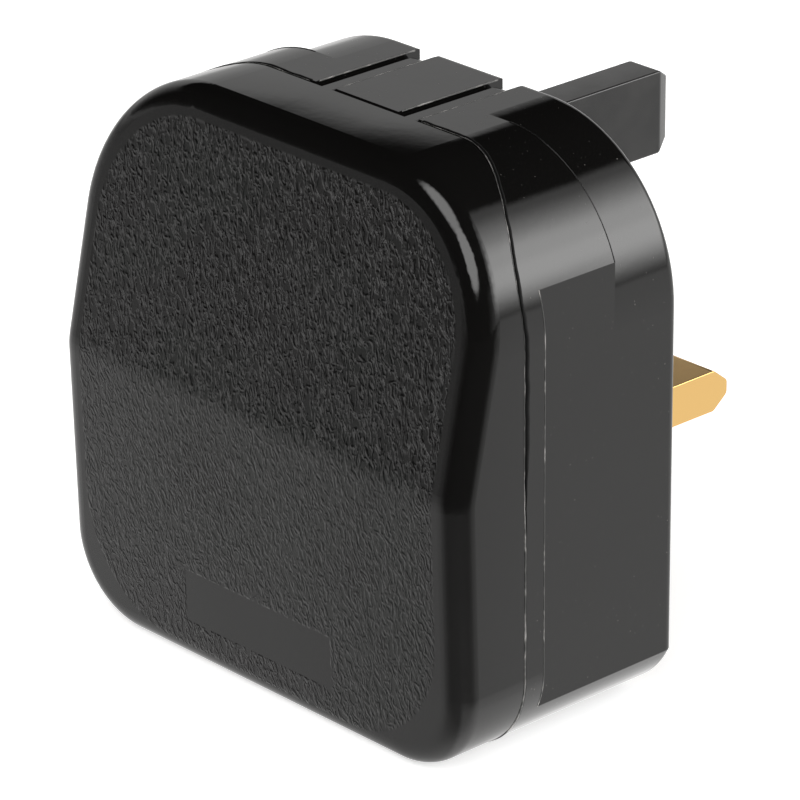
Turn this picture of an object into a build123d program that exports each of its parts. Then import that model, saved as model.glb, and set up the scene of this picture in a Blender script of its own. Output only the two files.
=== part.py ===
"""Fused plug converter: a hinged housing that takes a flat two-pin plug and carries three rectangular pins.

Frame, in millimetres: X is to the right seen from the cover, Y runs from the cover to the pins and Z is up.
The origin lies on the pin face, midway between the line and neutral pins.
"""

from build123d import *
from math import cos, radians, sin, tan
import os

# Housing outline, seen along the depth
HALF_WIDTH = 26.0
TOP_Z = 31.55
BOTTOM_Z = -21.3
FRONT_TOP_RADIUS = 13.8
BOTTOM_RADIUS = 8.5

# The rear part of the base is drawn in at its sides and upper corners
SIDE_INSET = 0.8
REAR_TOP_RADIUS = 15.4
STEP_Y = -7.8
FLAT_FRONT_Y = -16.75
RIM_RADIUS = 1.0

# Seam between base and cover, straight at the sides and curved back over the hinge
SEAM_Y = -18.9
SEAM_ARC_RADIUS = 12.0
SEAM_ARC_Z = 21.2
SEAM_GAP = 0.25

# Cover face: two facets that meet in a level ridge
RIDGE_Y = -27.2
RIDGE_Z = 5.6
UPPER_LEAN_DEG = 12.2
LOWER_LEAN_DEG = 1.5
RIDGE_RADIUS = 6.0
FACE_EDGE_RADIUS = 2.3

# Walls
WALL = 1.8
PIN_PLATE = 3.2

# Hinge: two arms of the cover turn on moulded pegs in two slots of the base
PIVOT_Y = -4.4
PIVOT_Z = 28.5
PEG_RADIUS = 1.0
PEG_LENGTH = 1.1
PEG_CLEARANCE = 0.06
PEG_GROOVE_HALF = 0.85
ARM_REAR_Y = -1.2
ARM_TOP_GAP = 0.3
ARM_DROP = 2.7
ARM_CORNER_RADIUS = 1.2
ARM_EDGE_BEVEL = 0.35
SLOT_CENTRE_X = 5.3
SLOT_WIDTH = 2.6
ARM_SIDE_GAP = 0.3
SLOT_FLOOR_GAP = 0.2
HINGE_BLOCK_HALF = 9.2
HINGE_BLOCK_FRONT_Y = -12.7
HINGE_BLOCK_REAR_Y = -0.6
HINGE_FLOOR = 1.2
CORE_HALF = 2.3

# Pins, to the national standard for fused plugs
PIN_CENTRE_X = 11.115
BLADE_WIDTH = 6.35
BLADE_THICKNESS = 3.975
BLADE_LENGTH = 17.7
BLADE_TIP_LENGTH = 1.7
BLADE_TIP_THICKNESS = 1.3
BLADE_TIP_ROUND = 0.6
SLEEVE_LENGTH = 9.5
SLEEVE_WALL = 0.6
EARTH_Z = 22.23
EARTH_WIDTH = 3.975
EARTH_HEIGHT = 7.95
EARTH_LENGTH = 22.73
EARTH_TIP_LENGTH = 1.6
EARTH_TIP_WIDTH = 2.4
EARTH_TIP_HEIGHT = 6.0
PIN_FIT = 0.05
PIN_HEAD = 1.2
PIN_HEAD_MARGIN = 0.6
SPIGOT_RADIUS = 1.45
RIVET_RADIUS = 2.3
RIVET_HEIGHT = 0.9

# Earth pin flange behind the pin face
EARTH_FLANGE_HALF = 4.2
EARTH_FLANGE_THICKNESS = 2.2
EARTH_FLANGE_BELOW = 2.9

# Flat two-pin plug that the housing takes
PLUG_PIN_SPACING = 18.6
PLUG_PIN_RADIUS = 2.0
PLUG_AXIS_Y = -17.6
PLUG_FACE_Z = 2.8
OUTLET_WIDTH = 15.0
OUTLET_DEPTH = 11.0
OUTLET_COLLAR = 1.6
OUTLET_COLLAR_HEIGHT = 3.0

# Metal strip
STRIP = 0.6
STRIP_WIDTH = 5.0
CLIP_SHEET = 0.5
CLIP_OPENING_DEG = 100.0
CLIP_LIP = 0.9
CLIP_GRIP_GAP = 0.05
SPRING_SHEET = 0.3
SPRING_GAP = 0.04
CONTACT_HEIGHT = 6.0
CONTACT_Z = 12.4
RISER_HEIGHT = 4.2
SPRING_INSET = 0.4
SPRING_MOUTH_DEG = 14.0

# Cartridge fuse
FUSE_RADIUS = 3.175
FUSE_LENGTH = 25.4
FUSE_CAP_LENGTH = 6.0
FUSE_CAP_WALL = 0.25
FUSE_CAP_GAP = 0.02
FUSE_BORE_RADIUS = 1.5
FUSE_WIRE_RADIUS = 0.2
FUSE_BOTTOM_Z = -11.0
FUSE_WALL_GAP = 0.3
FUSE_PLATE_GAP = 0.35
FUSE_WINDOW_GAP = 1.0
FLOOR_GAP = 0.05
LINK_SLOPE = 1.2

# Moulded carrier that covers the live strips and stands round the contacts
CARRIER_REAR_Y = -9.2
CARRIER_PLATE = 1.4
CARRIER_EDGE_GAP = 0.4
CARRIER_FOOT_Z = -17.6
TOWER_WALL = 1.2
TOWER_FRONT_Y = -20.6
TOWER_FOOT_Z = 10.4
POCKET_HALF = 3.4
POCKET_FLOOR_Y = -14.2
CHANNEL_HALF = 2.4
RISER_SLOT_GAP = 0.15
PAD_GAP = 0.15
PAD_HALF = 2.0

# Screws that hold the carrier down, their heads sunk flush
UPPER_SCREW_Z = 9.6
LOWER_SCREW_GAP = 1.9
LOWER_SCREW_Z = -14.4
SCREW_RADIUS = 1.2
SCREW_LENGTH = 5.6
SCREW_HEAD_RADIUS = 2.2
SCREW_HEAD_HEIGHT = 1.3
SCREW_CROSS_REACH = 1.3
SCREW_CROSS_WIDTH = 0.6
SCREW_CROSS_DEPTH = 0.7
SCREW_FIT = 0.05
SCREW_HEAD_GAP = 0.15
SCREW_SUNK = 0.1
PILLAR_RADIUS = 2.6
PILLAR_FLOOR = 1.0
BOSS_RADIUS = 3.2
BOSS_DEPTH = 1.0

# Snap tongues at the foot of the cover
TONGUE_SIDE_GAP = 1.4
TONGUE_WIDTH = 5.0
TONGUE_THICKNESS = 1.2
TONGUE_REACH = 5.0
TONGUE_GAP = 0.35
BEAD_RADIUS = 0.55
BEAD_BACK = 1.1
BEAD_RISE = 0.1
GROOVE_DEPTH = 0.45
GROOVE_AHEAD = 1.2
GROOVE_BEHIND = 0.9
GROOVE_SIDE_GAP = 0.3

# Ribs inside the cover that keep the plug's pins in their contacts
KEEPER_WIDTH = 2.0
KEEPER_GAP = 0.4
KEEPER_LOW_Z = 12.6
KEEPER_HIGH_Z = 20.6

# Worked out from the sizes above
FAR = 40.0
SIDE_FLAT_HALF = HALF_WIDTH - SIDE_INSET
SEAM_CENTRE_Y = SEAM_Y + SEAM_ARC_RADIUS
FLOOR_Y = -PIN_PLATE
ARM_TOP_Z = TOP_Z - ARM_TOP_GAP
PEG_REACH = SLOT_WIDTH / 2 - ARM_SIDE_GAP + PEG_LENGTH
ARM_CORNER = Vector(ARM_REAR_Y - ARM_CORNER_RADIUS, ARM_TOP_Z - ARM_CORNER_RADIUS)
ARM_SWING = (ARM_CORNER - Vector(PIVOT_Y, PIVOT_Z)).length + ARM_CORNER_RADIUS
SLOT_FLOOR_Z = PIVOT_Z - ARM_SWING - SLOT_FLOOR_GAP
HINGE_FLOOR_Z = SLOT_FLOOR_Z - HINGE_FLOOR
STRIP_Y = FLOOR_Y - PIN_HEAD - STRIP
CONTACT_X = PLUG_PIN_SPACING / 2
CLIP_RADIUS = PLUG_PIN_RADIUS + CLIP_GRIP_GAP
FUSE_CLIP_RADIUS = FUSE_RADIUS + CLIP_GRIP_GAP
FUSE_X = SIDE_FLAT_HALF - WALL - FUSE_WALL_GAP - STRIP - FUSE_CLIP_RADIUS
FUSE_Y = FLOOR_Y - FLOOR_GAP - STRIP - FUSE_CLIP_RADIUS
FUSE_TOP_Z = FUSE_BOTTOM_Z + FUSE_LENGTH
CAP_MARGIN = (FUSE_CAP_LENGTH - STRIP_WIDTH) / 2
CARRIER_FRONT_Y = CARRIER_REAR_Y - CARRIER_PLATE
CARRIER_RIGHT_X = FUSE_X - FUSE_CLIP_RADIUS - STRIP - FUSE_PLATE_GAP
CARRIER_TOP_Z = HINGE_FLOOR_Z - CARRIER_EDGE_GAP
COLLAR_HALF = OUTLET_WIDTH / 2 + OUTLET_COLLAR
LOWER_SCREW_X = COLLAR_HALF + CARRIER_EDGE_GAP + BOSS_RADIUS + LOWER_SCREW_GAP
TONGUE_X = COLLAR_HALF + TONGUE_SIDE_GAP + TONGUE_WIDTH / 2
COLLAR_TOP_Z = BOTTOM_Z + WALL + OUTLET_COLLAR_HEIGHT
FUSE_INNER_ENDS = [
    (FUSE_X, FUSE_Y, FUSE_BOTTOM_Z + FUSE_CAP_WALL),
    (FUSE_X, FUSE_Y, FUSE_TOP_Z - FUSE_CAP_WALL),
]
TOWER_HALF = POCKET_HALF + TOWER_WALL
BOSS_REAR_Y = CARRIER_REAR_Y + BOSS_DEPTH
EARTH_FOOT_Z = EARTH_Z - EARTH_HEIGHT / 2
EARTH_CROWN_Z = EARTH_Z + EARTH_HEIGHT / 2
SCREW_PLACES = {
    "upper": (0, UPPER_SCREW_Z),
    "left": (-LOWER_SCREW_X, LOWER_SCREW_Z),
    "right": (LOWER_SCREW_X, LOWER_SCREW_Z),
}


def outline(half, top, bottom, top_radius, bottom_radius):
    """Rounded outline seen along the depth, in X and Z."""
    frame = Pos(0, (top + bottom) / 2) * Rectangle(2 * half, top - bottom)
    frame = fillet(frame.vertices().group_by(Axis.Y)[-1], top_radius)
    if bottom_radius:
        frame = fillet(frame.vertices().group_by(Axis.Y)[0], bottom_radius)
    return frame


def along_depth(profile, y_rear, y_front):
    """Solid of an X-Z profile between two depths."""
    return extrude(Plane.XZ.offset(-y_rear) * profile, y_rear - y_front)


def across(profile, x_left, x_right):
    """Solid of a Y-Z profile between two widths."""
    return extrude(Plane.YZ.offset(x_left) * profile, x_right - x_left)


def upright(profile, z_low, z_high):
    """Solid of an X-Y profile between two heights."""
    return extrude(Plane.XY.offset(z_low) * profile, z_high - z_low)


def block(x, y, z):
    """Box between pairs of limits along X, Y and Z."""
    size = [abs(limit[1] - limit[0]) for limit in (x, y, z)]
    centre = [(limit[0] + limit[1]) / 2 for limit in (x, y, z)]
    return Pos(*centre) * Box(*size)


def around(centre, half):
    """Pair of limits that lie as far on both sides of a centre."""
    return centre - half, centre + half


def rod(radius, start, end):
    """Cylinder between two points."""
    start, end = Vector(*start), Vector(*end)
    span = end - start
    return extrude(Plane(origin=start, z_dir=span) * Circle(radius), span.length)


FRONT_OUTLINE = outline(HALF_WIDTH, TOP_Z, BOTTOM_Z, FRONT_TOP_RADIUS, BOTTOM_RADIUS)
REAR_OUTLINE = outline(SIDE_FLAT_HALF, TOP_Z, BOTTOM_Z, REAR_TOP_RADIUS, 0) & FRONT_OUTLINE


def cavity_outline(inset, half=SIDE_FLAT_HALF, top_radius=REAR_TOP_RADIUS):
    """The housing's outline moved inwards."""
    return outline(half - inset, TOP_Z - inset, BOTTOM_Z + inset, top_radius - inset, BOTTOM_RADIUS - inset)


def behind_seam():
    """Side view of everything behind the seam."""
    centre, radius = (SEAM_CENTRE_Y, SEAM_ARC_Z), SEAM_ARC_RADIUS
    half_way = (centre[0] - radius * cos(radians(45)), centre[1] + radius * sin(radians(45)))
    edge = [
        Line((0, -FAR), (SEAM_Y, -FAR)),
        Line((SEAM_Y, -FAR), (SEAM_Y, SEAM_ARC_Z)),
        ThreePointArc((SEAM_Y, SEAM_ARC_Z), half_way, (centre[0], centre[1] + radius)),
        Line((centre[0], centre[1] + radius), (0, centre[1] + radius)),
        Line((0, centre[1] + radius), (0, -FAR)),
    ]
    return make_face(edge)


def ahead_of_seam():
    """Side view of the cover between the seam and its two facets."""
    centre, radius = (SEAM_CENTRE_Y, SEAM_ARC_Z), SEAM_ARC_RADIUS + SEAM_GAP
    half_way = (centre[0] - radius * cos(radians(45)), centre[1] + radius * sin(radians(45)))
    crown = (centre[0], centre[1] + radius)
    top_y = RIDGE_Y + (FAR - RIDGE_Z) * tan(radians(UPPER_LEAN_DEG))
    foot_y = RIDGE_Y + (FAR + RIDGE_Z) * tan(radians(LOWER_LEAN_DEG))
    edge = [
        ThreePointArc((centre[0] - radius, SEAM_ARC_Z), half_way, crown),
        Line(crown, (centre[0], FAR)),
        Line((centre[0], FAR), (top_y, FAR)),
        Line((top_y, FAR), (RIDGE_Y, RIDGE_Z)),
        Line((RIDGE_Y, RIDGE_Z), (foot_y, -FAR)),
        Line((foot_y, -FAR), (centre[0] - radius, -FAR)),
        Line((centre[0] - radius, -FAR), (centre[0] - radius, SEAM_ARC_Z)),
    ]
    return make_face(edge)


def inside_cover():
    """Side view of the room inside the cover, one wall behind its facets."""
    upper, lower = radians(UPPER_LEAN_DEG), radians(LOWER_LEAN_DEG)
    rise = WALL * (1 / cos(lower) - 1 / cos(upper)) / (tan(upper) + tan(lower))
    bend = (RIDGE_Y + WALL / cos(upper) + rise * tan(upper), RIDGE_Z + rise)
    top_y = bend[0] + (FAR - bend[1]) * tan(upper)
    foot_y = bend[0] + (FAR + bend[1]) * tan(lower)
    return make_face(Polyline((0, -FAR), (foot_y, -FAR), bend, (top_y, FAR), (0, FAR), close=True))


def outlet(grow=0.0):
    """Passage for the plug's cord through the foot of the housing, in X and Y."""
    opening = RectangleRounded(OUTLET_WIDTH + 2 * grow, OUTLET_DEPTH + 2 * grow, OUTLET_DEPTH / 3 + grow)
    return Pos(0, PLUG_AXIS_Y) * opening


def outlet_collar():
    """Ring of wall that stands inside the foot round the outlet."""
    ring = outlet(OUTLET_COLLAR) - outlet()
    return upright(ring, BOTTOM_Z + WALL / 2, COLLAR_TOP_Z)


def beside_ridge(edge):
    """True for the two level edges of the ridge's rounding."""
    middle = edge.center()
    return abs(middle.X) < SEAM_GAP and abs(middle.Z - RIDGE_Z) < RIDGE_RADIUS / 2


def arm(centre):
    """Hinge arm: a beam from behind the upper facet with a rounded rear end and bevelled upper edges."""
    half = SLOT_WIDTH / 2 - ARM_SIDE_GAP
    foot_z = PIVOT_Z - ARM_DROP
    middle = Pos((ARM_REAR_Y + RIDGE_Y) / 2, (ARM_TOP_Z + foot_z) / 2)
    side_view = middle * Rectangle(ARM_REAR_Y - RIDGE_Y, ARM_TOP_Z - foot_z)
    low_corner, high_corner = side_view.vertices().group_by(Axis.X)[-1].sort_by(Axis.Y)
    side_view = fillet(high_corner, ARM_CORNER_RADIUS)
    low_corner = side_view.vertices().sort_by_distance(low_corner)[0]
    side_view = fillet(low_corner, ARM_DROP)
    beam = across(side_view, centre - half, centre + half)
    top_edges = beam.edges().filter_by(Axis.Y).group_by(Axis.Z)[-1]
    return chamfer(top_edges, ARM_EDGE_BEVEL) & across(inside_cover(), -FAR, FAR)


def base_housing():
    """Rear half: pin plate, walls, hinge block, pillars and foot groove."""
    front = along_depth(FRONT_OUTLINE, STEP_Y, -FAR)
    rear = along_depth(REAR_OUTLINE, 0, STEP_Y)
    rear = fillet(rear.faces().sort_by(Axis.Y)[-1].edges(), RIM_RADIUS)
    shell = (front + rear) & across(behind_seam(), -FAR, FAR)
    for side in (-1, 1):
        flat_x = sorted((side * SIDE_FLAT_HALF, side * FAR))
        shell -= block(flat_x, (FLAT_FRONT_Y, STEP_Y), (-FAR, FAR))
    whole = shell
    shell -= along_depth(cavity_outline(WALL), FLOOR_Y, -FAR)

    # Hinge block, cored out from the front and from below so that the earth pin passes
    hinge_x, core_x = around(0, HINGE_BLOCK_HALF), around(0, CORE_HALF)
    hinge = whole & block(hinge_x, (HINGE_BLOCK_FRONT_Y, 0), (HINGE_FLOOR_Z, FAR))
    core_rear = PIVOT_Y - PEG_RADIUS - WALL / 2
    core = block(core_x, (HINGE_BLOCK_FRONT_Y, core_rear), (0, TOP_Z - WALL))
    core += block(core_x, (HINGE_BLOCK_FRONT_Y, FLOOR_Y), (0, EARTH_CROWN_Z + PIN_FIT))
    shell += hinge - core
    shell -= block(hinge_x, (HINGE_BLOCK_REAR_Y, FAR), (EARTH_CROWN_Z + WALL / 2, FAR))
    for side in (-1, 1):
        centre = side * SLOT_CENTRE_X
        shell -= block(around(centre, SLOT_WIDTH / 2), (-FAR, FAR), (SLOT_FLOOR_Z, FAR))
        # Peg holes in both walls of the slot, with a snap-in groove from the rear
        left, right = around(centre, PEG_REACH + PEG_CLEARANCE)
        shell -= rod(PEG_RADIUS + PEG_CLEARANCE, (left, PIVOT_Y, PIVOT_Z), (right, PIVOT_Y, PIVOT_Z))
        shell -= block((left, right), (PIVOT_Y, FAR), around(PIVOT_Z, PEG_GROOVE_HALF))

    # Apertures for the three pins
    blade_hole = Rectangle(BLADE_WIDTH + 2 * PIN_FIT, BLADE_THICKNESS + 2 * PIN_FIT)
    earth_hole = Rectangle(EARTH_WIDTH + 2 * PIN_FIT, EARTH_HEIGHT + 2 * PIN_FIT)
    for place in (Pos(PIN_CENTRE_X, 0), Pos(-PIN_CENTRE_X, 0)):
        shell -= along_depth(place * blade_hole, 0, FLOOR_Y)
    shell -= along_depth(Pos(0, EARTH_Z) * earth_hole, 0, FLOOR_Y)

    # Pillars for the carrier's screws
    for x, z in SCREW_PLACES.values():
        shell += rod(PILLAR_RADIUS, (x, FLOOR_Y + PILLAR_FLOOR, z), (x, BOSS_REAR_Y, z))
        shell -= rod(SCREW_RADIUS + SCREW_FIT, (x, FLOOR_Y, z), (x, BOSS_REAR_Y, z))

    # Cord outlet and the groove that the cover's beads snap into
    collar_room = along_depth(cavity_outline(WALL / 2), 0, -FAR)
    shell += outlet_collar() & collar_room & across(behind_seam(), -FAR, FAR)
    shell -= upright(outlet(), -FAR, COLLAR_TOP_Z)
    bead_y = SEAM_Y + TONGUE_REACH - BEAD_BACK
    inner_foot = BOTTOM_Z + WALL
    for side in (-1, 1):
        groove_x = around(side * TONGUE_X, TONGUE_WIDTH / 2 + GROOVE_SIDE_GAP)
        groove_y = (bead_y - GROOVE_AHEAD, bead_y + GROOVE_BEHIND)
        shell -= block(groove_x, groove_y, (inner_foot - GROOVE_DEPTH, inner_foot))
    return shell


def cover():
    """Front half: faceted face, side walls, hinge arms, keeper ribs and snap tongues."""
    shape = along_depth(FRONT_OUTLINE, 0, -FAR) & across(ahead_of_seam(), -FAR, FAR)
    ridge = shape.edges().filter_by(Axis.X).sort_by(Axis.Y)[0]
    shape = fillet(ridge, RIDGE_RADIUS)
    facets = shape.faces().filter_by(lambda face: face.center().Y < SEAM_Y - 1 and face.normal_at().Y < -0.9)
    rim = ShapeList()
    for facet in facets:
        rim += facet.edges().filter_by(lambda edge: not beside_ridge(edge))
    shape = fillet(rim, FACE_EDGE_RADIUS)
    room = along_depth(cavity_outline(WALL, HALF_WIDTH, FRONT_TOP_RADIUS), 0, -FAR)
    room &= across(inside_cover(), -FAR, FAR)
    shape -= room

    # Hinge arms, each with a peg on both sides
    for side in (-1, 1):
        centre = side * SLOT_CENTRE_X
        left, right = around(centre, PEG_REACH)
        shape += arm(centre)
        shape += rod(PEG_RADIUS, (left, PIVOT_Y, PIVOT_Z), (right, PIVOT_Y, PIVOT_Z))

    # Keeper ribs in front of the two contacts
    keeper_y = PLUG_AXIS_Y - PLUG_PIN_RADIUS - KEEPER_GAP
    inner = across(inside_cover(), -FAR, FAR)
    for side in (-1, 1):
        keeper_x = around(side * CONTACT_X, KEEPER_WIDTH / 2)
        shape += block(keeper_x, (-FAR, keeper_y), (KEEPER_LOW_Z, KEEPER_HIGH_Z)) & inner

    # Cord outlet with its collar
    seam_side = block((-FAR, FAR), (-FAR, SEAM_Y - SEAM_GAP), (-FAR, 0))
    shape += outlet_collar() & seam_side & inner & along_depth(cavity_outline(WALL / 2), 0, -FAR)
    shape -= upright(outlet(), -FAR, COLLAR_TOP_Z)

    # Snap tongues with a bead along their tip
    tongue_z = BOTTOM_Z + WALL + TONGUE_GAP
    tip_y = SEAM_Y + TONGUE_REACH
    root_y = SEAM_Y - 2 * WALL
    for side in (-1, 1):
        x = around(side * TONGUE_X, TONGUE_WIDTH / 2)
        shape += block(x, (root_y, tip_y), (tongue_z, tongue_z + TONGUE_THICKNESS))
        shape += block(x, (root_y, SEAM_Y - SEAM_GAP), (BOTTOM_Z + WALL / 2, tongue_z + TONGUE_THICKNESS / 2))
        bead_y = tip_y - BEAD_BACK
        shape += rod(BEAD_RADIUS, (x[0], bead_y, tongue_z + BEAD_RISE), (x[1], bead_y, tongue_z + BEAD_RISE))
    return shape


def blade(side):
    """Line or neutral pin: headed inside, necked under its sleeve, with a wedge-shaped tip."""
    x = side * PIN_CENTRE_X
    neck = Rectangle(BLADE_WIDTH - 2 * SLEEVE_WALL, BLADE_THICKNESS - 2 * SLEEVE_WALL)
    head = Rectangle(BLADE_WIDTH + 2 * PIN_HEAD_MARGIN, BLADE_THICKNESS + 2 * PIN_HEAD_MARGIN)
    shoulder, half, tip_half = BLADE_LENGTH - BLADE_TIP_LENGTH, BLADE_THICKNESS / 2, BLADE_TIP_THICKNESS / 2
    side_view = make_face(Polyline(
        (SLEEVE_LENGTH, -half), (shoulder, -half), (BLADE_LENGTH, -tip_half),
        (BLADE_LENGTH, tip_half), (shoulder, half), (SLEEVE_LENGTH, half), close=True,
    ))
    tip_corners = side_view.vertices().sort_by(Axis.X)[2:]
    side_view = fillet(tip_corners, BLADE_TIP_ROUND)
    pin = along_depth(head, FLOOR_Y, FLOOR_Y - PIN_HEAD) + along_depth(neck, SLEEVE_LENGTH, FLOOR_Y)
    pin += across(side_view, -BLADE_WIDTH / 2, BLADE_WIDTH / 2)
    pin += rod(SPIGOT_RADIUS, (0, FLOOR_Y - PIN_HEAD, 0), (0, STRIP_Y, 0))
    pin += rod(RIVET_RADIUS, (0, STRIP_Y, 0), (0, STRIP_Y - RIVET_HEIGHT, 0))
    return Pos(x, 0, 0) * pin


def sleeve(side):
    """Insulating sleeve moulded round a blade's neck."""
    outer = Rectangle(BLADE_WIDTH, BLADE_THICKNESS)
    bore = Rectangle(BLADE_WIDTH - 2 * SLEEVE_WALL, BLADE_THICKNESS - 2 * SLEEVE_WALL)
    return Pos(side * PIN_CENTRE_X, 0, 0) * along_depth(outer - bore, SLEEVE_LENGTH, FLOOR_Y)


def earth_pin():
    """Moulded pin that opens the socket's shutters, with a flange behind the pin plate."""
    full = Rectangle(EARTH_WIDTH, EARTH_HEIGHT)
    tip = Rectangle(EARTH_TIP_WIDTH, EARTH_TIP_HEIGHT)
    shoulder = EARTH_LENGTH - EARTH_TIP_LENGTH
    pin = along_depth(full, shoulder, FLOOR_Y)
    pin += loft([Plane.XZ.offset(-shoulder) * full, Plane.XZ.offset(-EARTH_LENGTH) * tip])
    pin = Pos(0, 0, EARTH_Z) * pin
    flange_z = (EARTH_FOOT_Z - EARTH_FLANGE_BELOW, HINGE_FLOOR_Z - PAD_GAP)
    flange_y = (FLOOR_Y - EARTH_FLANGE_THICKNESS, FLOOR_Y)
    return pin + block((-EARTH_FLANGE_HALF, EARTH_FLANGE_HALF), flange_y, flange_z)


def mouth(half_angle_deg, radius):
    """Wedge that opens a clip towards the cover."""
    reach = 3 * radius
    spread = reach * tan(radians(half_angle_deg))
    return make_face(Polyline((0, 0), (-spread, -reach), (spread, -reach), close=True))


def clip_profile(radius, sheet):
    """Spring clip seen from above, open towards the cover, with flared lips."""
    half_open = CLIP_OPENING_DEG / 2
    clip = Circle(radius + sheet) - Circle(radius) - mouth(half_open, radius)
    middle = radius + sheet / 2
    for side in (-1, 1):
        end = (side * middle * sin(radians(half_open)), -middle * cos(radians(half_open)))
        lip = Pos(side * (CLIP_LIP - sheet / 4) / 2, 0) * Rectangle(CLIP_LIP + sheet / 4, sheet)
        clip += Pos(*end) * (Rot(0, 0, -side * half_open) * lip)
    return clip


def contact_clip(side):
    """Contact that grips one round pin, with the riser that carries it."""
    x = side * CONTACT_X
    profile = Pos(x, PLUG_AXIS_Y) * clip_profile(CLIP_RADIUS, CLIP_SHEET)
    return upright(profile, CONTACT_Z, CONTACT_Z + CONTACT_HEIGHT)


def riser(side, foot_y):
    """Upright tab between a strip on the floor and its contact."""
    x = side * CONTACT_X
    top_y = PLUG_AXIS_Y + CLIP_RADIUS + CLIP_SHEET / 2
    return block(around(x, CLIP_SHEET / 2), (top_y, foot_y), (CONTACT_Z, CONTACT_Z + RISER_HEIGHT))


def line_contact():
    """One folded strip: upper fuse clip, foot on the floor, riser and contact."""
    low, high = FUSE_TOP_Z - CAP_MARGIN - STRIP_WIDTH, FUSE_TOP_Z - CAP_MARGIN
    floor = (FLOOR_Y - FLOOR_GAP - STRIP, FLOOR_Y - FLOOR_GAP)
    piece = upright(Pos(FUSE_X, FUSE_Y) * clip_profile(FUSE_CLIP_RADIUS, STRIP), low, high)
    left = CONTACT_X - CLIP_SHEET / 2
    fuse_room = rod(FUSE_CLIP_RADIUS, (FUSE_X, FUSE_Y, low), (FUSE_X, FUSE_Y, high))
    piece += block((left, FUSE_X), floor, (low, high)) - fuse_room
    piece += block((left, left + STRIP_WIDTH), floor, (low, CONTACT_Z + RISER_HEIGHT))
    return piece + riser(1, floor[1]) + contact_clip(1)


def line_link():
    """One folded strip: from the line pin's rivet down and across to the lower fuse clip."""
    low, high = FUSE_BOTTOM_Z + CAP_MARGIN, FUSE_BOTTOM_Z + CAP_MARGIN + STRIP_WIDTH
    floor = FLOOR_Y - FLOOR_GAP
    left, right = PIN_CENTRE_X - STRIP_WIDTH / 2, PIN_CENTRE_X + STRIP_WIDTH / 2
    piece = upright(Pos(FUSE_X, FUSE_Y) * clip_profile(FUSE_CLIP_RADIUS, STRIP), low, high)
    drop = right + (floor - STRIP - STRIP_Y) * LINK_SLOPE
    path = Polyline(
        (left, STRIP_Y), (right, STRIP_Y), (drop, floor - STRIP), (FUSE_X, floor - STRIP),
        (FUSE_X, floor), (drop, floor), (right, STRIP_Y + STRIP), (left, STRIP_Y + STRIP), close=True,
    )
    fuse_room = rod(FUSE_CLIP_RADIUS, (FUSE_X, FUSE_Y, low), (FUSE_X, FUSE_Y, high))
    piece += upright(make_face(path), low, high) - fuse_room
    piece += block((left, right), (STRIP_Y, STRIP_Y + STRIP), (low, STRIP_WIDTH / 2))
    return piece - rod(SPIGOT_RADIUS, (PIN_CENTRE_X, STRIP_Y, 0), (PIN_CENTRE_X, FLOOR_Y, 0))


def neutral_contact():
    """One folded strip: from the neutral pin's rivet up to the second contact."""
    level = (STRIP_Y, STRIP_Y + STRIP)
    left, right = -PIN_CENTRE_X - STRIP_WIDTH / 2, -PIN_CENTRE_X + STRIP_WIDTH / 2
    piece = block((left, right), level, (-STRIP_WIDTH / 2, CONTACT_Z + RISER_HEIGHT))
    piece += riser(-1, level[1]) + contact_clip(-1)
    return piece - rod(SPIGOT_RADIUS, (-PIN_CENTRE_X, STRIP_Y, 0), (-PIN_CENTRE_X, FLOOR_Y, 0))


def contact_spring(side):
    """Steel spring round a contact, slit from below so that it slides down over the riser."""
    radius = CLIP_RADIUS + CLIP_SHEET + SPRING_GAP
    ring = Circle(radius + SPRING_SHEET) - Circle(radius)
    ring -= mouth(CLIP_OPENING_DEG / 2 + SPRING_MOUTH_DEG, radius)
    low, high = CONTACT_Z + SPRING_INSET, CONTACT_Z + CONTACT_HEIGHT - SPRING_INSET
    spring = upright(Pos(side * CONTACT_X, PLUG_AXIS_Y) * ring, low, high)
    half = CLIP_SHEET / 2 + RISER_SLOT_GAP
    slit_y = (PLUG_AXIS_Y, PLUG_AXIS_Y + 2 * radius)
    slit_z = (low, CONTACT_Z + RISER_HEIGHT + RISER_SLOT_GAP)
    return spring - block((side * CONTACT_X - half, side * CONTACT_X + half), slit_y, slit_z)


def fuse_body():
    """Ceramic tube of the cartridge fuse."""
    outer = rod(FUSE_RADIUS - FUSE_CAP_WALL - FUSE_CAP_GAP, *FUSE_INNER_ENDS)
    return outer - rod(FUSE_BORE_RADIUS, *FUSE_INNER_ENDS)


def fuse_wire():
    """Wire that joins the two caps inside the tube."""
    return rod(FUSE_WIRE_RADIUS, *FUSE_INNER_ENDS)


def fuse_cap(end_z, inward):
    """Metal cup over one end of the fuse."""
    mouth_z = end_z + inward * FUSE_CAP_LENGTH
    floor_z = end_z + inward * FUSE_CAP_WALL
    cap = rod(FUSE_RADIUS, (FUSE_X, FUSE_Y, end_z), (FUSE_X, FUSE_Y, mouth_z))
    closed_end = cap.edges().filter_by(GeomType.CIRCLE).sort_by(Axis.Z)[0 if inward > 0 else -1]
    cap = chamfer(closed_end, FUSE_CAP_WALL)
    return cap - rod(FUSE_RADIUS - FUSE_CAP_WALL, (FUSE_X, FUSE_Y, floor_z), (FUSE_X, FUSE_Y, mouth_z))


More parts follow.
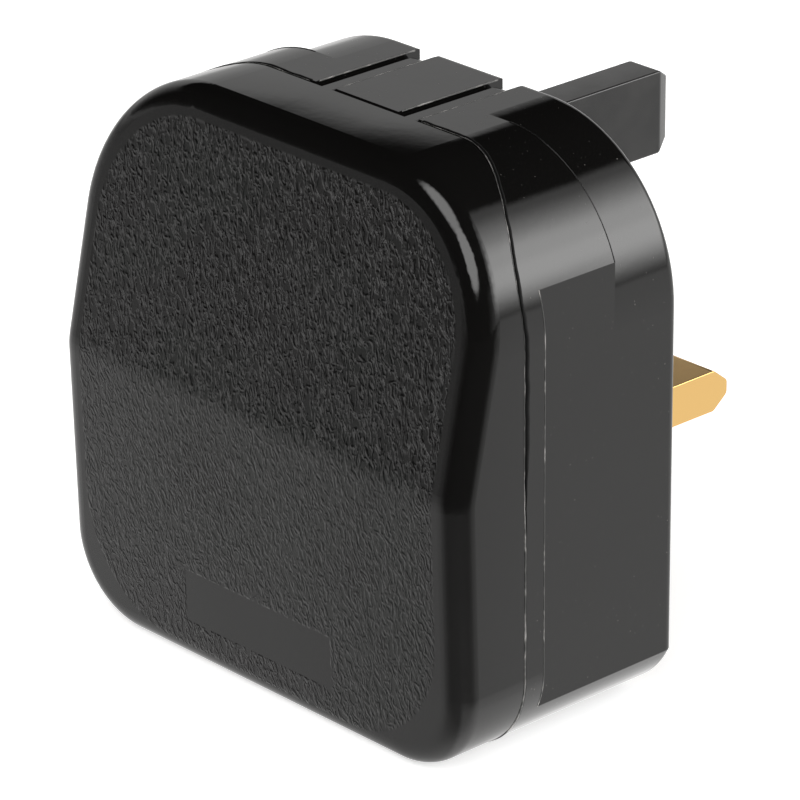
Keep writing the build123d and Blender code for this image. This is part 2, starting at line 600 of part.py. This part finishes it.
def contact_carrier():
    """Moulded plate over the strips, with a tower round each contact that is open at its front and top."""
    height = Pos(0, (CARRIER_TOP_Z + CARRIER_FOOT_Z) / 2) * Rectangle(2 * FAR, CARRIER_TOP_Z - CARRIER_FOOT_Z)
    plate = along_depth(cavity_outline(WALL + CARRIER_EDGE_GAP) & height, CARRIER_REAR_Y, CARRIER_FRONT_Y)

    # Room for the outlet's collar
    collar_room = COLLAR_HALF + CARRIER_EDGE_GAP
    plate -= block((-collar_room, collar_room), (-FAR, 0), (-FAR, COLLAR_TOP_Z + CARRIER_EDGE_GAP))

    riser_half = CLIP_SHEET / 2 + RISER_SLOT_GAP
    pocket_z = (TOWER_FOOT_Z + TOWER_WALL, FAR)
    for side in (-1, 1):
        x = side * CONTACT_X
        plate += block(around(x, TOWER_HALF), (TOWER_FRONT_Y, CARRIER_REAR_Y), (TOWER_FOOT_Z, CARRIER_TOP_Z))
        plate -= block(around(x, POCKET_HALF), (-FAR, POCKET_FLOOR_Y), pocket_z)
        plate -= block(around(x, CHANNEL_HALF), (-FAR, PLUG_AXIS_Y + CHANNEL_HALF), (-FAR, FAR))
        plate -= block(around(x, POCKET_HALF), (POCKET_FLOOR_Y + TOWER_WALL, 0), pocket_z)
        plate -= block(around(x, riser_half), (-FAR, 0), (CONTACT_Z - RISER_SLOT_GAP, FAR))
        # Pad that backs the pin's rivet
        pad_y = (CARRIER_REAR_Y, STRIP_Y - RIVET_HEIGHT - PAD_GAP)
        plate += block(around(side * PIN_CENTRE_X, PAD_HALF), pad_y, around(0, PAD_HALF))

    # Window for the fuse
    fuse_front_y = FUSE_Y - FUSE_CLIP_RADIUS - STRIP - FUSE_PLATE_GAP
    plate -= block((CARRIER_RIGHT_X, FAR), (fuse_front_y, 0), (FUSE_BOTTOM_Z - FUSE_WINDOW_GAP, FAR))

    # Foot that backs the earth pin's flange
    flange_y = FLOOR_Y - EARTH_FLANGE_THICKNESS - PAD_GAP
    foot_z = (EARTH_FOOT_Z - PAD_HALF, EARTH_FOOT_Z + PAD_HALF)
    plate += block((-PAD_HALF, PAD_HALF), (CARRIER_REAR_Y, flange_y), foot_z)

    for x, z in SCREW_PLACES.values():
        seat_y = CARRIER_FRONT_Y + SCREW_SUNK + SCREW_HEAD_HEIGHT
        plate += rod(BOSS_RADIUS, (x, CARRIER_FRONT_Y, z), (x, BOSS_REAR_Y, z))
        plate -= rod(SCREW_RADIUS + SCREW_FIT, (x, CARRIER_FRONT_Y, z), (x, BOSS_REAR_Y, z))
        plate -= rod(SCREW_HEAD_RADIUS + SCREW_HEAD_GAP, (x, CARRIER_FRONT_Y, z), (x, seat_y, z))
    return plate


def carrier_screw(x, z):
    """Flat-headed screw with a cross recess."""
    crown_y = CARRIER_FRONT_Y + SCREW_SUNK
    seat_y = crown_y + SCREW_HEAD_HEIGHT
    head = rod(SCREW_HEAD_RADIUS, (x, seat_y, z), (x, crown_y, z))
    recess_y = (crown_y, crown_y + SCREW_CROSS_DEPTH)
    reach, half = SCREW_CROSS_REACH, SCREW_CROSS_WIDTH / 2
    head -= block((x - reach, x + reach), recess_y, (z - half, z + half))
    head -= block((x - half, x + half), recess_y, (z - reach, z + reach))
    return head + rod(SCREW_RADIUS, (x, seat_y, z), (x, seat_y + SCREW_LENGTH, z))


def pieces():
    """Every piece by its name."""
    made = {
        "base_housing": base_housing(),
        "cover": cover(),
        "line_pin": blade(1),
        "neutral_pin": blade(-1),
        "line_pin_sleeve": sleeve(1),
        "neutral_pin_sleeve": sleeve(-1),
        "earth_pin": earth_pin(),
        "line_contact": line_contact(),
        "line_link": line_link(),
        "neutral_contact": neutral_contact(),
        "line_contact_spring": contact_spring(1),
        "neutral_contact_spring": contact_spring(-1),
        "fuse_body": fuse_body(),
        "fuse_wire": fuse_wire(),
        "fuse_cap_lower": fuse_cap(FUSE_BOTTOM_Z, 1),
        "fuse_cap_upper": fuse_cap(FUSE_TOP_Z, -1),
        "contact_carrier": contact_carrier(),
    }
    for place, (x, z) in SCREW_PLACES.items():
        made[f"carrier_screw_{place}"] = carrier_screw(x, z)
    return made


os.makedirs("parts", exist_ok=True)
for name, piece in pieces().items():
    piece.label = name
    export_step(piece, f"parts/{name}.step")
    print(name, len(piece.solids()), round(piece.volume, 1), piece.is_valid)
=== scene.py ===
from math import cos, pi, radians, sin

import bmesh
import bpy
from mathutils import Matrix, Vector, noise


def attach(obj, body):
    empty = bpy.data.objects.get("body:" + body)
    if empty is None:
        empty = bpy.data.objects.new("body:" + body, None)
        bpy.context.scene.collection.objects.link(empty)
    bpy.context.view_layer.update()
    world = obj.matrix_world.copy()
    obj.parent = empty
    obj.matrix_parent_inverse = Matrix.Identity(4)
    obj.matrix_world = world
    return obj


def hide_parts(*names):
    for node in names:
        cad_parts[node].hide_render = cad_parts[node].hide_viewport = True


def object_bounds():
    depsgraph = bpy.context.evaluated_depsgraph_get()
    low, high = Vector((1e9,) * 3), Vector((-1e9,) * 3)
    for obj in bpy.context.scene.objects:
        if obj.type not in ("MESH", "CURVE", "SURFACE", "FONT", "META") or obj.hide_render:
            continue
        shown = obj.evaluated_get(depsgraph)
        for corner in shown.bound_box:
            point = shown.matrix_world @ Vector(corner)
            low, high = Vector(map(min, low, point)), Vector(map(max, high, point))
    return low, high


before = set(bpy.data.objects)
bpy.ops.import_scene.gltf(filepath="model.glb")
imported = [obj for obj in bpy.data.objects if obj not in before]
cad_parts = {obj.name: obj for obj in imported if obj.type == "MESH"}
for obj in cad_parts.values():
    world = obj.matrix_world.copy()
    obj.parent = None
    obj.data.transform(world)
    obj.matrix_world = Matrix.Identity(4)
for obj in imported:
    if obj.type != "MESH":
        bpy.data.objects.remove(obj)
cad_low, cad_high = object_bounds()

MM = 0.001

# ---------------------------------------------------------------- materials


class Value:
    """A shader socket that can be added, multiplied and so on like a number."""

    def __init__(self, nodes, socket):
        self.nodes, self.socket = nodes, socket

    def math(self, operation, *others):
        inputs = dict(enumerate((self, *others)))
        return self.nodes.node("ShaderNodeMath", {"operation": operation}, inputs)

    def __add__(self, other):
        return self.math("ADD", other)

    def __sub__(self, other):
        return self.math("SUBTRACT", other)

    def __rsub__(self, other):
        return self * -1.0 + other

    def __mul__(self, other):
        return self.math("MULTIPLY", other)

    __radd__ = __add__
    __rmul__ = __mul__

    def absolute(self):
        return self.math("ABSOLUTE")

    def lowest(self, other):
        return self.math("MINIMUM", other)

    def highest(self, other):
        return self.math("MAXIMUM", other)

    def past(self, limit):
        """Square of how far this lies above a limit, 0 below it."""
        return (self - limit).highest(0.0).math("POWER", 2.0)

    def band(self, low, high):
        """0 below low, 1 above high and smooth between them."""
        inputs = {"Value": self, "From Min": low, "From Max": high}
        return self.nodes.node(
            "ShaderNodeMapRange", {"interpolation_type": "SMOOTHSTEP"}, inputs
        )


class Nodes:
    """The nodes of one material or world."""

    def __init__(self, tree):
        self.tree = tree

    def node(self, kind, settings=None, inputs=None, output=0):
        """Adds a node and gives one of its outputs."""
        made = self.tree.nodes.new(kind)
        for name, value in (settings or {}).items():
            setattr(made, name, value)
        for name, value in (inputs or {}).items():
            if isinstance(value, Value):
                self.tree.links.new(value.socket, made.inputs[name])
            else:
                made.inputs[name].default_value = value
        return Value(self, made.outputs[output])

    def axes(self, vector):
        split = self.node("ShaderNodeSeparateXYZ", inputs={"Vector": vector})
        return [Value(self, output) for output in split.socket.node.outputs]


class Paint(Nodes):
    """One material: constants on its surface shader, and what varies over it."""

    def __init__(self, name, **constants):
        self.material = bpy.data.materials.new(name)
        self.material.use_nodes = True
        super().__init__(self.material.node_tree)
        self.surface = self.tree.nodes["Principled BSDF"]
        for socket, value in constants.items():
            self.surface.inputs[socket.replace("_", " ")].default_value = value

    def place(self):
        """Object coordinates, in metres."""
        return self.node("ShaderNodeTexCoord", output="Object")

    def noise(self, scale, detail, vector=None, **shape):
        inputs = {"Vector": vector or self.place(), "Scale": scale, "Detail": detail}
        return self.node("ShaderNodeTexNoise", inputs=inputs | shape)

    def mixed(self, share, first, second):
        """Colour between two colours. A Mix node has its colours at sockets 6 and 7."""
        inputs = {0: share, 6: first, 7: second}
        return self.node("ShaderNodeMix", {"data_type": "RGBA"}, inputs, output=2)

    def bump(self, height, strength, distance, under=None):
        inputs = {"Height": height, "Strength": strength, "Distance": distance}
        if under:
            inputs["Normal"] = under
        return self.node("ShaderNodeBump", inputs=inputs)

    def feed(self, **values):
        for name, value in values.items():
            self.tree.links.new(value.socket, self.surface.inputs[name.replace("_", " ")])
        return self.material


def grey(level):
    return (level, level, level, 1)


BLACK = (0.0048, 0.0046, 0.0044, 1)
DUST = (0.3, 0.28, 0.26, 1)
# Greys of the flash and the fine edge lines, well above the black: a painted highlight on thin
# edges
FLASH_HIGHLIGHT_DIM, FLASH_HIGHLIGHT_PALE = (0.06, 0.06, 0.058, 1), (0.3, 0.29, 0.28, 1)
HANDLED_DARK, HANDLED_PALE = (0.009, 0.009, 0.009, 1), (0.018, 0.0175, 0.017, 1)
POLISH = 0.06


def moulding(name):
    """Polished black plastic, and the normal of its slightly uneven skin."""
    paint = Paint(name, Base_Color=BLACK, Roughness=POLISH, IOR=1.5)
    sink = paint.noise(scale=90.0, detail=1.0)
    skin = paint.noise(scale=900.0, detail=2.0)
    return paint, paint.bump(sink * 0.9 + skin * 0.1, strength=0.8, distance=0.05 * MM)


def black_plastic():
    """Base: specks of dust lie on the polish."""
    paint, skin = moulding("polished_black_plastic")
    specks = paint.noise(scale=5200.0, detail=0.0).band(0.83, 0.88)
    dusted = paint.mixed(specks * 0.3, BLACK, DUST)
    return paint.feed(Normal=skin, Base_Color=dusted, Roughness=specks * 0.4 + POLISH)


# Grain of the cover: half sizes and middle of its rounded area, and of the bare field in it
GRAIN_WIDE, GRAIN_TALL, GRAIN_MIDDLE, GRAIN_CORNER = 23.2 * MM, 24.4 * MM, 4.7 * MM, 11.5 * MM
FIELD_WIDE, FIELD_TALL, FIELD_MIDDLE = 9.7 * MM, 2.6 * MM, -14.5 * MM
SINK_X, SINK_Z = 0.7 * MM, 8.0 * MM


def grained_plastic():
    """Cover: leather grain inside a smooth border, with a bare field near the foot."""
    paint, skin = moulding("grained_black_plastic")
    x, y, z = paint.axes(paint.place())
    off_middle = x.absolute()

    corner_x = off_middle.past(GRAIN_WIDE - GRAIN_CORNER)
    corner_z = (z - GRAIN_MIDDLE).absolute().past(GRAIN_TALL - GRAIN_CORNER)
    inside = (GRAIN_CORNER - (corner_x + corner_z).math("SQRT")).band(0.0, 0.35 * MM)
    field_x = FIELD_WIDE - off_middle
    field_z = FIELD_TALL - (z - FIELD_MIDDLE).absolute()
    field = field_x.lowest(field_z).band(-0.1 * MM, 0.12 * MM)
    front = (y * -1.0).band(20.5 * MM, 21.0 * MM)
    grained = inside * (1.0 - field) * front

    # Winding wrinkles, longer than wide and leaning a little to the right
    leaning = {"X": x * 1.9 + z * 0.62, "Y": y, "Z": z}
    stretched = paint.node("ShaderNodeCombineXYZ", inputs=leaning)
    folds = paint.noise(scale=930.0, detail=1.0, vector=stretched, Roughness=0.35, Distortion=0.8)
    valleys = ((folds - 0.5).absolute() * 7.0).lowest(1.0).band(0.0, 1.0)
    grain = (0.5 - valleys) * grained

    # Taper of the cover's sides towards its face
    taper = (y * -1.0).past(14.0 * MM) + off_middle.past(4.0 * MM) * 0.4

    # Faint dent above the ridge, as in the photograph
    sink_x, sink_z = x - SINK_X, (z - SINK_Z) * 0.3
    sink = (sink_x * sink_x + sink_z * sink_z).math("SQRT").band(0.0, 1.6 * MM)

    normal = paint.bump(taper * -5000.0, strength=1.0, distance=MM, under=skin)
    normal = paint.bump(sink, strength=1.0, distance=0.05 * MM, under=normal)
    normal = paint.bump(grain, strength=1.0, distance=0.062 * MM, under=normal)
    normal = paint.bump(field * -1.0, strength=1.0, distance=0.03 * MM, under=normal)
    return paint.feed(Normal=normal, Roughness=grained * 0.16 + POLISH)


def satin_plastic():
    """Inner mouldings and pin sleeves."""
    paint = Paint("satin_black_plastic", Base_Color=grey(0.018), Roughness=0.38)
    grit = paint.noise(scale=4200.0, detail=2.0)
    return paint.feed(Normal=paint.bump(grit, strength=0.3, distance=0.02 * MM))


def flash_highlight_plastic():
    """Thin rim squeezed out along the seam, also worn by fine edge lines: grey with paler random
    patches, a painted highlight on these thin edges.
    """
    paint = Paint("seam_flash_plastic", Base_Color=FLASH_HIGHLIGHT_DIM, Roughness=0.3)
    patches = paint.noise(scale=800.0, detail=2.0).band(0.45, 0.7)
    return paint.feed(Base_Color=paint.mixed(patches, FLASH_HIGHLIGHT_DIM, FLASH_HIGHLIGHT_PALE))


def gap_shade_plastic():
    """Painted shade: a near-black, dull and ragged bead along the base under the seam, which
    widens the dark line of the gap.
    """
    paint = Paint("seam_lip_plastic", Base_Color=grey(0.001), Roughness=0.6, IOR=1.3)
    crumbs = paint.noise(scale=3500.0, detail=1.0)
    return paint.feed(Normal=paint.bump(crumbs, strength=0.5, distance=0.05 * MM))


def pin_plastic():
    """Earth pin: the same moulding, dulled by handling."""
    paint, skin = moulding("dulled_black_plastic")
    rubbed = paint.noise(scale=260.0, detail=3.0).band(0.35, 0.75)
    dulled = paint.mixed(rubbed, HANDLED_DARK, HANDLED_PALE)
    return paint.feed(Normal=skin, Base_Color=dulled, Roughness=rubbed * 0.1 + 0.12)


def pin_brass():
    """Line and neutral pins, brushed along their length."""
    paint = Paint("bright_brass", Base_Color=(0.83, 0.53, 0.2, 1), Metallic=1.0, Roughness=0.2)
    along_y = {0: paint.place(), 1: (1.0, 0.08, 1.0)}
    stretched = paint.node("ShaderNodeVectorMath", {"operation": "MULTIPLY"}, along_y)
    strokes = paint.noise(scale=9000.0, detail=3.0, vector=stretched)
    normal = paint.bump(strokes, strength=0.25, distance=0.01 * MM)
    return paint.feed(Normal=normal, Roughness=strokes * 0.18 + 0.12)


def sheet_metal(name, colour, scale, dullness):
    """Plain metal whose polish varies."""
    paint = Paint(name, Base_Color=colour, Metallic=1.0)
    return paint.feed(Roughness=paint.noise(scale=scale, detail=4.0) * 0.25 + dullness)


finishes = {
    # The first finish paints a highlight on fine beads, the second paints shade in the seam's gap
    "flash_and_highlight": flash_highlight_plastic(),
    "gap_shade": gap_shade_plastic(),
    "earth": pin_plastic(),
    "black": black_plastic(),
    "grain": grained_plastic(),
    "satin": satin_plastic(),
    "pin": pin_brass(),
    "contact": sheet_metal("pressed_brass", (0.74, 0.53, 0.24, 1), 700.0, 0.18),
    "steel": sheet_metal("bright_steel", (0.62, 0.61, 0.59, 1), 900.0, 0.12),
    "ceramic": Paint("fuse_ceramic", Base_Color=(0.8, 0.77, 0.7, 1), Roughness=0.22).material,
}
dressed_in = {
    "base_housing": "black",
    "cover": "grain",
    "earth_pin": "earth",
    "line_pin_sleeve": "satin",
    "neutral_pin_sleeve": "satin",
    "contact_carrier": "satin",
    "line_pin": "pin",
    "neutral_pin": "pin",
    "line_contact": "contact",
    "line_link": "contact",
    "neutral_contact": "contact",
    "line_contact_spring": "steel",
    "neutral_contact_spring": "steel",
    "fuse_body": "ceramic",
    "fuse_wire": "steel",
    "fuse_cap_lower": "steel",
    "fuse_cap_upper": "steel",
    "carrier_screw_upper": "steel",
    "carrier_screw_left": "steel",
    "carrier_screw_right": "steel",
}
for name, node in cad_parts.items():
    node.data.materials.clear()
    node.data.materials.append(finishes[dressed_in[name]])

# ------------------------------------------------- pins with rounded edges

PIN_ROUNDING = {"earth_pin": 0.18 * MM, "line_pin": 0.12 * MM, "neutral_pin": 0.12 * MM}
SAME_SPOT = 0.0005 * MM
SHARP_TURN, FLAT_TURN = radians(3), radians(0.1)


def added(name, data):
    """A new object in the scene."""
    piece = bpy.data.objects.new(name, data)
    bpy.context.scene.collection.objects.link(piece)
    return piece


def spot(point):
    """A point rounded to a ten-thousandth of a millimetre, to find it again."""
    return tuple(round(value / (0.0001 * MM)) for value in point)


def creases(mesh):
    """Edges of a CAD mesh across which its surface turns sharply, by their ends."""
    seen, sharp = {}, set()
    for polygon in mesh.polygons:
        corners = list(polygon.loop_indices)
        for pair in zip(corners, corners[1:] + corners[:1]):
            normals = {}
            for corner in pair:
                vertex = mesh.vertices[mesh.loops[corner].vertex_index]
                normals[spot(vertex.co)] = mesh.corner_normals[corner].vector.copy()
            edge = frozenset(normals)
            before = seen.setdefault(edge, normals)
            if any(before[end].angle(normals[end], 0) > SHARP_TURN for end in edge):
                sharp.add(edge)
    return sharp


def eased(name, width):
    """Puts a merged copy with finely rounded edges in the place of a CAD piece."""
    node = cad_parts[name]
    sharp = creases(node.data)
    shape = bmesh.new()
    shape.from_mesh(node.data)
    bmesh.ops.remove_doubles(shape, verts=shape.verts, dist=SAME_SPOT)
    weight = shape.edges.layers.float.new("bevel_weight_edge")
    for face in shape.faces:
        face.smooth = True
    for edge in shape.edges:
        if frozenset(spot(vertex.co) for vertex in edge.verts) in sharp:
            edge.smooth, edge[weight] = False, 1.0
    bmesh.ops.dissolve_limit(
        shape,
        angle_limit=FLAT_TURN,
        verts=shape.verts,
        edges=[edge for edge in shape.edges if edge.smooth],
        delimit={"SHARP"},
    )
    for edge in shape.edges:
        edge.smooth = True
    mesh = bpy.data.meshes.new(name + "_eased")
    shape.to_mesh(mesh)
    shape.free()
    mesh.materials.append(finishes[dressed_in[name]])
    piece = added(name + "_eased", mesh)
    rounding = piece.modifiers.new("edge_rounding", "BEVEL")
    rounding.width, rounding.segments, rounding.limit_method = width, 2, "WEIGHT"
    flats = piece.modifiers.new("even_flats", "WEIGHTED_NORMAL")
    flats.mode, flats.weight = "FACE_AREA", 100
    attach(piece, "housing")
    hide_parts(name)


for name, width in PIN_ROUNDING.items():
    eased(name, width)

# ---------------------------------------- fine lines along edges and the seam

# Outline of the housing, as in the source
HALF_WIDTH, TOP_Z, BOTTOM_Z = cad_high.x, cad_high.z, cad_low.z
MIDDLE_Z = (TOP_Z + BOTTOM_Z) / 2
TOP_RADIUS, FOOT_RADIUS = 13.8 * MM, 8.5 * MM
FLAT_FRONT_Y, STEP_Y = -16.75 * MM, -7.8 * MM
SEAM_Y, SEAM_ARC_RADIUS, SEAM_ARC_Z = -18.9 * MM, 12.0 * MM, 21.2 * MM
SLOT_EDGES = (4.0 * MM, 6.6 * MM)
SLOT_FRONT_Y, SLOT_REAR_Y = -12.6 * MM, -1.2 * MM

# Shares of the way down the outline, for the side flat, the shoulder above it and the seam
FLAT_START, FLAT_END, SHOULDER_START = 0.306, 0.715, 0.13
SEAM_START, SEAM_END = 0.075, 0.93
SEAM_STEPS, FLAT_STEPS, SHOULDER_STEPS = 420, 90, 40

# How often the seam's edge wanders and wears, in waves a metre
RAGGED, WORN = 900, 170


def rim(start, end, steps):
    """Points down the right half of the outline, between two shares of its length."""
    top = Vector((HALF_WIDTH - TOP_RADIUS, TOP_Z - TOP_RADIUS))
    foot = Vector((HALF_WIDTH - FOOT_RADIUS, BOTTOM_Z + FOOT_RADIUS))

    def on_arc(centre, radius, turned):
        return centre.x + radius * sin(turned), centre.y + radius * cos(turned)

    runs = (
        (top.x, lambda way: (way, TOP_Z)),
        (TOP_RADIUS * pi / 2, lambda way: on_arc(top, TOP_RADIUS, way / TOP_RADIUS)),
        (top.y - foot.y, lambda way: (HALF_WIDTH, top.y - way)),
        (FOOT_RADIUS * pi / 2, lambda way: on_arc(foot, FOOT_RADIUS, pi / 2 + way / FOOT_RADIUS)),
        (foot.x, lambda way: (foot.x - way, BOTTOM_Z)),
    )
    points = []
    for step in range(steps + 1):
        way = (start + (end - start) * step / steps) * sum(length for length, _ in runs)
        for length, point in runs:
            if way <= length:
                break
            way -= length
        points.append(point(way))
    return points


def seam_y(z):
    """Depth of the seam at a height: it turns back over the hinge."""
    rise = max(z - SEAM_ARC_Z, 0.0)
    return SEAM_Y + SEAM_ARC_RADIUS - (SEAM_ARC_RADIUS**2 - rise**2) ** 0.5


def ramp(value, low, high):
    """0 below low, 1 above high and straight between them."""
    return min(max((value - low) / (high - low), 0.0), 1.0)


def bead(name, body, points, radii, finish):
    """Fine raised line along an edge of a moulding. Its radii are in metres."""
    curve = bpy.data.curves.new(name, "CURVE")
    curve.dimensions, curve.use_fill_caps = "3D", True
    curve.bevel_depth, curve.bevel_resolution = 1.0, 3
    line = curve.splines.new("POLY")
    line.points.add(len(points) - 1)
    for knot, point, radius in zip(line.points, points, radii):
        knot.co, knot.radius = (*point, 1.0), radius
    curve.materials.append(finishes[finish])
    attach(added(name, curve), body)


def edge_line(name, points, radius, finish):
    """Bead of one radius on the base."""
    bead(name, "housing", points, [radius] * len(points), finish)


def seam(side, hand):
    """Flash on the cover's edge, coloured with a painted highlight, and a dark bead of painted
    shade on the base's edge, which is widest beside the upper facet.
    """
    flash_and_highlight, flash_radii, gap_shade, gap_shade_radii = [], [], [], []
    for x, z in rim(SEAM_START, SEAM_END, SEAM_STEPS):
        here = Vector((x, side * HALF_WIDTH, z))
        wander, worn = noise.noise(here * RAGGED), noise.noise(here * WORN)
        closed = 1 - ramp(z, -1 * MM, 6 * MM)
        wide = ramp(z, 4 * MM, 9 * MM) * max(1 - ramp(z, 21 * MM, 27 * MM), 0.25)

        # Flash bead on the cover's edge; its pale grey paints the edge's highlight
        flash_y = seam_y(z) - (0.27 - 0.14 * closed - 0.04 * wander) * MM
        flash_and_highlight.append((side * (x + 0.015 * MM), flash_y, z))
        flash_radii.append((0.035 + 0.05 * closed + 0.02 * wander + 0.02 * worn) * MM)

        # Near-black bead on the base's edge: painted shade that widens the seam's dark gap
        sunk = 1 - 0.008 * wide
        gap_shade_y = seam_y(z) + (0.13 * wide + 0.06 * wander) * MM
        gap_shade.append((side * x * sunk, gap_shade_y, MIDDLE_Z + (z - MIDDLE_Z) * sunk))
        gap_shade_radii.append((0.05 + 0.24 * wide + 0.02 * wander + 0.04 * worn * wide) * MM)
    bead(f"seam_flash_{hand}", "lid", flash_and_highlight, flash_radii, "flash_and_highlight")
    bead(f"seam_lip_{hand}", "housing", gap_shade, gap_shade_radii, "gap_shade")


for side, hand in ((-1, "left"), (1, "right")):
    seam(side, hand)
    flat = rim(FLAT_START, FLAT_END, FLAT_STEPS)
    # Fine rounded bead along the step's front edge; its pale colour paints the edge's highlight
    step = [(side * x, FLAT_FRONT_Y - 0.03 * MM, z) for x, z in flat]
    edge_line(f"step_edge_highlight_{hand}", step, 0.055 * MM, "flash_and_highlight")
    bend = rim(SHOULDER_START, FLAT_START, SHOULDER_STEPS)
    shoulder = [(side * x, STEP_Y - 0.04 * MM, z) for x, z in bend]
    edge_line(f"shoulder_edge_{hand}", shoulder, 0.05 * MM, "black")
    # Fine beads along the slots' top edges; their pale colour paints the edges' highlights
    for number, x in enumerate(SLOT_EDGES):
        ends = [(side * x, y, TOP_Z - 0.06 * MM) for y in (SLOT_FRONT_Y, SLOT_REAR_Y)]
        edge_line(f"slot_edge_highlight_{hand}_{number + 1}", ends, 0.075 * MM, "flash_and_highlight")

# ------------------------------------------------------ camera, floor, light

# Camera fitted to the pins and edges in the photograph
AZIMUTH, ELEVATION, ROLL = radians(47.436), radians(23.515), radians(-0.457)
TARGET = Vector((-10.229, 0.0, -3.768)) * MM
DISTANCE = 468.72 * MM
PICTURE_WIDTH, FOCAL_LENGTH = 800, 5099.2  # in pixels
SENSOR_WIDTH = 36.0


def photo_camera():
    back = Vector(
        (sin(AZIMUTH) * cos(ELEVATION), -cos(AZIMUTH) * cos(ELEVATION), sin(ELEVATION))
    )
    level = Vector((cos(AZIMUTH), sin(AZIMUTH), 0.0))
    upward = back.cross(level)
    right = level * cos(ROLL) + upward * sin(ROLL)
    above = upward * cos(ROLL) - level * sin(ROLL)
    camera = added("camera", bpy.data.cameras.new("camera"))
    camera.data.sensor_width = SENSOR_WIDTH
    camera.data.lens = FOCAL_LENGTH / PICTURE_WIDTH * SENSOR_WIDTH
    camera.data.clip_start, camera.data.clip_end = 0.01, 50
    turn = Matrix((right, above, back)).transposed().to_4x4()
    camera.matrix_world = Matrix.Translation(TARGET + back * DISTANCE) @ turn
    bpy.context.scene.camera = camera


def white_floor():
    """Pale floor under the foot, left out of reflections."""
    shape = bmesh.new()
    bmesh.ops.create_grid(shape, x_segments=1, y_segments=1, size=6.0)
    bmesh.ops.translate(shape, verts=shape.verts, vec=(0, 0, BOTTOM_Z))
    mesh = bpy.data.meshes.new("floor")
    shape.to_mesh(mesh)
    shape.free()
    glow = {"Emission_Color": grey(1), "Emission_Strength": 0.6}
    paint = Paint("white_floor", Base_Color=grey(0.9), Roughness=0.8, **glow)
    mesh.materials.append(paint.material)
    floor = added("floor", mesh)
    floor.visible_glossy = False


def studio():
    """Soft studio light, as a strength for each direction that the world is seen in."""
    world = bpy.data.worlds.new("studio")
    bpy.context.scene.world = world
    world.use_nodes = True
    nodes = Nodes(world.node_tree)
    x, y, z = nodes.axes(nodes.node("ShaderNodeTexCoord", output="Generated"))

    def nearness(azimuth, elevation):
        """Cosine of the angle to a direction, its azimuth from the rear towards the right."""
        azimuth, elevation = radians(azimuth), radians(elevation)
        level = x * (sin(azimuth) * cos(elevation)) + y * (cos(azimuth) * cos(elevation))
        return level + z * sin(elevation)

    # Above the horizon: a dim wall behind, a lamp at its right and two over the front
    wall = (1.0 - z.band(0.36, 0.45)) * y.band(-0.3, 0.3) * 0.6
    lamp = nearness(47, 20)
    glow = lamp.band(0.79, 0.84) * (lamp.band(0.84, 1.0) * 4.6 + 1.1)
    rear_lamp = glow * z.band(-0.05, 0.3) * (1.0 - z.band(0.5, 0.65) * 0.3)
    right_lamp = nearness(150, 38).band(0.935, 0.975) * 4.2
    front_lamp = nearness(181, 56).band(0.925, 0.98) * 3.8
    sky = z.band(-0.02, 0.03) * (wall + rear_lamp + right_lamp.highest(front_lamp))

    # Below it: a pale table, darker to the front left and on the camera's side
    downward = z * -1.0
    towards_camera = x * sin(AZIMUTH) - y * cos(AZIMUTH)
    front_left = (x + y) * -0.7
    shaded = front_left.band(0.1, 0.7) * (0.55 - downward.band(0.1, 0.42) * 0.35)
    camera_side = towards_camera.band(0.2, 0.75) * (0.97 - downward.band(0.3, 0.55) * 0.3)
    openness = (1.0 - shaded) * (1.0 - camera_side)
    under_foot = downward.band(0.42, 0.65) * (x + y).band(-0.15, 0.25) * 0.5

    # The table fades out towards the horizon, over a wider range at the front left
    haze = front_left.band(0.1, 0.6)
    near = 1.0 - z.band(-0.06 - haze * 0.14, haze * 0.13 - 0.01)
    horizon = (1.0 - z.band(-0.01, 0.03)) * z.band(-0.06, -0.01) * 0.6
    table = near * (openness + under_foot) + horizon * openness

    background = world.node_tree.nodes["Background"]
    background.inputs["Color"].default_value = (1, 0.995, 0.985, 1)
    world.node_tree.links.new((sky + table).socket, background.inputs["Strength"])


photo_camera()
white_floor()
studio()
bpy.context.scene.view_settings.view_transform = "Standard"
